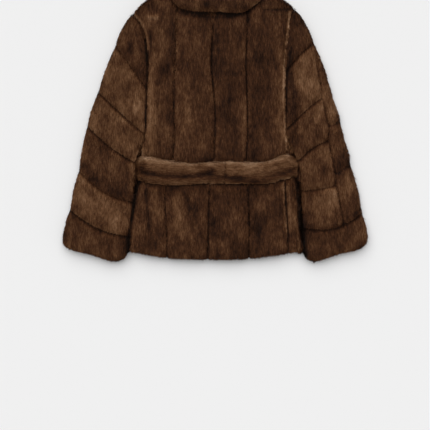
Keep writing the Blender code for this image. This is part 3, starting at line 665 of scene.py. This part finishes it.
def down_the_sleeve(points):
    """The nap of a sleeve, turning outwards with the arm."""
    slant = np.interp(np.abs(points[:, 0]), (ARM_NEAR, ARM_FAR), (SLANT_NEAR, SLANT_FAR))
    ways = np.column_stack([np.sign(points[:, 0]) * slant, np.full(len(points), -1.0)])
    return ways / np.linalg.norm(ways, axis=1)[:, None]


# name, tone, cut width and length, cut area
SLEEVE_BANDS = [
    ("sleeve_left_1", 0.42, (0.09, 0.2), 0.0106),
    ("sleeve_left_2", 0.54, (0.13, 0.235), 0.0174),
    ("sleeve_left_3", 0.49, (0.155, 0.185), 0.0151),
    ("sleeve_left_4", 0.46, (0.15, 0.2), 0.0187),
    ("sleeve_left_5", 0.54, (0.17, 0.175), 0.0175),
    ("sleeve_left_6", 0.44, (0.18, 0.145), 0.0159),
    ("sleeve_right_1", 0.32, (0.08, 0.17), 0.0077),
    ("sleeve_right_2", 0.50, (0.1, 0.23), 0.0153),
    ("sleeve_right_3", 0.45, (0.115, 0.17), 0.0119),
    ("sleeve_right_4", 0.43, (0.105, 0.135), 0.0105),
    ("sleeve_right_5", 0.47, (0.115, 0.125), 0.0117),
    ("sleeve_right_6", 0.43, (0.17, 0.135), 0.0155),
]
# Paler and darker patches, partly the pile's own tone and partly painted highlights and shade
# # where it lies another way, from the shoulder down to the cuff, the left sleeve and then the right one.
SLEEVE_SPOTS = [
    (-244, 573, 13, 26, 0.15), (-218, 537, 10, 18, -0.2), (-199, 552, 13, 36, 0.06),
    (-192, 469, 13, 26, -0.12), (-283, 495, 13, 36, 0.15), (-246, 443, 13, 31, 0.12),
    (-218, 441, 10, 13, -0.1), (-272, 410, 16, 10, -0.1), (-205, 405, 12, 52, 0.12),
    (-186, 284, 10, 21, 0.14), (-319, 384, 13, 52, 0.15), (-283, 360, 10, 13, -0.06),
    (-189, 306, 10, 21, 0.1), (-345, 285, 10, 36, 0.15), (-259, 240, 18, 21, 0.07),
    (-259, 168, 36, 13, -0.08), (-212, 228, 10, 42, 0.18), (-345, 202, 13, 21, 0.1),
    (-311, 142, 31, 21, 0.12), (-251, 98, 13, 31, 0.1), (-329, 98, 8, 10, -0.08), (-194, 262, 8, 14, 0.3),
    (-371, 46, 16, 16, -0.05), (-251, 53, 10, 26, 0.06), (-225, 32, 13, 42, -0.25),
    (-210, 124, 10, 42, -0.2), (235, 584, 10, 36, 0.12), (227, 474, 21, 42, 0.12),
    (263, 514, 13, 36, 0.2), (253, 436, 16, 26, 0.12), (206, 384, 10, 57, -0.22), (198, 462, 8, 31, -0.2),
    (258, 370, 21, 26, 0.1), (279, 410, 13, 31, 0.18), (211, 292, 13, 21, -0.08),
    (287, 266, 16, 26, 0.15), (230, 240, 21, 16, 0.1), (300, 162, 21, 26, 0.2), (248, 176, 21, 21, 0.08),
    (287, 124, 26, 26, 0.14), (230, 79, 8, 31, -0.15), (230, 38, 13, 42, -0.25), (344, 188, 13, 26, 0.18),
    (289, 436, 13, 21, 0.1), (302, 370, 13, 52, 0.18), (334, 240, 16, 16, -0.08), (386, 98, 10, 52, 0.12),
    (300, 240, 10, 42, 0.12), (321, 355, 10, 14, -0.22), (352, 240, 10, 10, -0.2),
    (-368, 128, 14, 30, -0.12), (-334, 236, 14, 20, -0.1), (-219, 264, 8, 12, -0.16),
    (344, 208, 12, 16, 0.1), (274, 365, 14, 30, 0.14), (222, 376, 10, 20, -0.14),
    (232, 285, 13, 10, -0.14), (326, 105, 12, 20, 0.12),
]
# The armholes; painted highlights on the pale edges of the seams between the bands; painted shade
# # and highlights on the folds below them; and painted shade in the seams across the strip on the
# # right arm's outer side.
SLEEVE_CREASES = [
    LEFT_GAP,
    RIGHT_GAP,
    ([(-257, 527), (-236, 508), (-218, 485), (-197, 449)], 2.8, 0.16),
    ([(-259, 363), (-220, 339), (-181, 311)], 2.8, 0.14),
    ([(-345, 240), (-298, 188), (-251, 157)], 14.0, -0.1),
    ([(-337, 194), (-298, 162), (-233, 131)], 8.0, 0.1),
    ([(235, 79), (300, 69), (339, 79)], 6.0, -0.12),
    *LEFT_ARMHOLE,
    *RIGHT_ARMHOLE,
    ([(276, 443), (295, 448)], 2.8, -0.25),
    ([(297, 332), (326, 350)], 3.0, -0.3),
    ([(313, 209), (352, 235)], 3.0, -0.3),
    ([(357, 105), (383, 129)], 3.0, -0.25),
]
for seed, (name, tone, cut, area) in enumerate(SLEEVE_BANDS, 30):
    cloth, pile = dress(
        name, sleeve_pile, tone, down_the_sleeve, SLEEVE_SPOTS, SLEEVE_CREASES, seam_shade=0.24, seed=seed
    )

UNDER_SLEEVES = [
    ("sleeve_left_under", 0.34, (0.225, 0.655), 0.091),
    ("sleeve_right_under", 0.42, (0.22, 0.665), 0.101),
]
for seed, (name, tone, cut, area) in enumerate(UNDER_SLEEVES, 50):
    cloth, pile = dress(
        name,
        sleeve_pile,
        tone,
        down_the_sleeve,
        SLEEVE_SPOTS,
        SLEEVE_CREASES,
        reach=UNDER_REACH,
        voxel=UNDER_VOXEL,
        seed=seed,
    )

# ---------------------------------------------------------------------------------------------
# The belt: a band of the same pile round the waist over a soft core, in two lengths sewn together
# a little right of the back's middle. Its pile is shorter, and brushed down and to the right.

belt_pile = pile_material("brown_acrylic_pile_of_the_belt", nap_along_x=True)


def over_the_belt(points):
    """The nap of the belt, down and to the right."""
    return np.tile([0.6, -0.8], (len(points), 1))


# Painted highlight along the belt's upper edge and a faint one along its lower edge, and painted shade in its
# lengthwise creases.
BELT_CREASES = [
    ([(-188, 212), (-142, 203), (-77, 201), (-38, 204), (-12, 211)], 8.0, -0.32),
    ([(8, 200), (60, 194), (105, 190)], 9.0, -0.2),
    ([(-168, 186), (-103, 181), (-25, 186)], 5.0, 0.05),
    ([(123, 196), (170, 207), (204, 218)], 7.0, -0.22),
    ([(-197, 250), (-142, 238), (-64, 233), (14, 236), (92, 233), (144, 238), (191, 254)], 7.0, 0.34),
]
BELT_SPOTS = [
    (-181, 246, 18, 12, 0.08), (-186, 228, 16, 10, -0.16), (-110, 228, 60, 10, 0.08), (19, 220, 16, 10, 0.12),
    (53, 199, 21, 8, -0.18), (120, 225, 60, 12, 0.08), (196, 240, 16, 13, 0.06),
]
# name, cut length and width, cut area
BELT_LENGTHS = [("belt_left", (0.46, 0.06), 0.0272), ("belt_right", (0.43, 0.06), 0.0251)]
BELT_TONE = 0.52
for seed, (name, cut, area) in enumerate(BELT_LENGTHS, 60):
    cloth, pile = dress(
        name,
        belt_pile,
        BELT_TONE,
        over_the_belt,
        BELT_SPOTS,
        BELT_CREASES,
        seam_shade=0.0,
        overhang=0.003,
        seed=seed,
        density=900000.0,
        length=0.009,
        width=0.0012,
        stray=0.3,
    )

# ---------------------------------------------------------------------------------------------
# The collar: one folded piece, its fall over the back and its roll above the neck. The pile runs
# down over the fall.

COLLAR_TONE = 0.44
collar_pile = pile_material("brown_acrylic_pile_of_the_collar")
COLLAR_SPOTS = [(-17, 651, 16, 8, -0.2), (74, 646, 10, 8, -0.2), (100, 649, 8, 8, 0.15), (1, 633, 36, 8, 0.1)]
cloth, pile = dress("collar", collar_pile, COLLAR_TONE, down, COLLAR_SPOTS, seed=70)

# ---------------------------------------------------------------------------------------------
# The ground, the light and the camera. The ground is a sheet of white paper. The camera looks
# straight down, and the jacket lies high in its frame, with the top of the collar just outside.

GROUND_HALF = 6.0
ground_mesh = bpy.data.meshes.new("ground")
ground_corners = [(x * GROUND_HALF, y * GROUND_HALF, 0.0) for x, y in ((-1, -1), (1, -1), (1, 1), (-1, 1))]
ground_mesh.from_pydata(ground_corners, [], [(0, 1, 2, 3)])
ground = bpy.data.objects.new("ground", ground_mesh)
bpy.context.scene.collection.objects.link(ground)
paper = bpy.data.materials.new("matt_white_paper")
paper.use_nodes = True
paper_shader = paper.node_tree.nodes["Principled BSDF"]
paper_shader.inputs["Base Color"].default_value = linear("#f2f2f2")
paper_shader.inputs["Roughness"].default_value = 0.95
paper_shader.inputs["Specular IOR Level"].default_value = 0.0
ground_mesh.materials.append(paper)

room = bpy.data.worlds.new("soft_white_room")
room.use_nodes = True
room.node_tree.nodes["Background"].inputs["Color"].default_value = (1.0, 1.0, 1.0, 1.0)
room.node_tree.nodes["Background"].inputs["Strength"].default_value = 0.38
bpy.context.scene.world = room
lamp_data = bpy.data.lights.new("large_soft_lamp", "SUN")
lamp_data.energy = 2.28
lamp_data.angle = math.radians(75)
lamp = bpy.data.objects.new("large_soft_lamp", lamp_data)
lamp.rotation_euler = (math.radians(-33), math.radians(-9), 0.0)
bpy.context.scene.collection.objects.link(lamp)
bpy.context.scene.view_settings.view_transform = "Standard"

PIXEL = 0.0026  # on the cloth
FRAME_PIXELS = 430
FRAME_SIDE = FRAME_PIXELS * PIXEL
LENS, SENSOR = 85.0, 36.0
CAMERA_Y = -0.2604  # under the middle of the frame
CLOTH_HEIGHT = 0.02  # where a pixel has that size
camera_data = bpy.data.cameras.new("overhead")
camera_data.lens = LENS
camera_data.sensor_width = SENSOR
camera = bpy.data.objects.new("overhead", camera_data)
camera.location = (0.0, CAMERA_Y, CLOTH_HEIGHT + FRAME_SIDE * LENS / SENSOR)
bpy.context.scene.collection.objects.link(camera)
bpy.context.scene.camera = camera
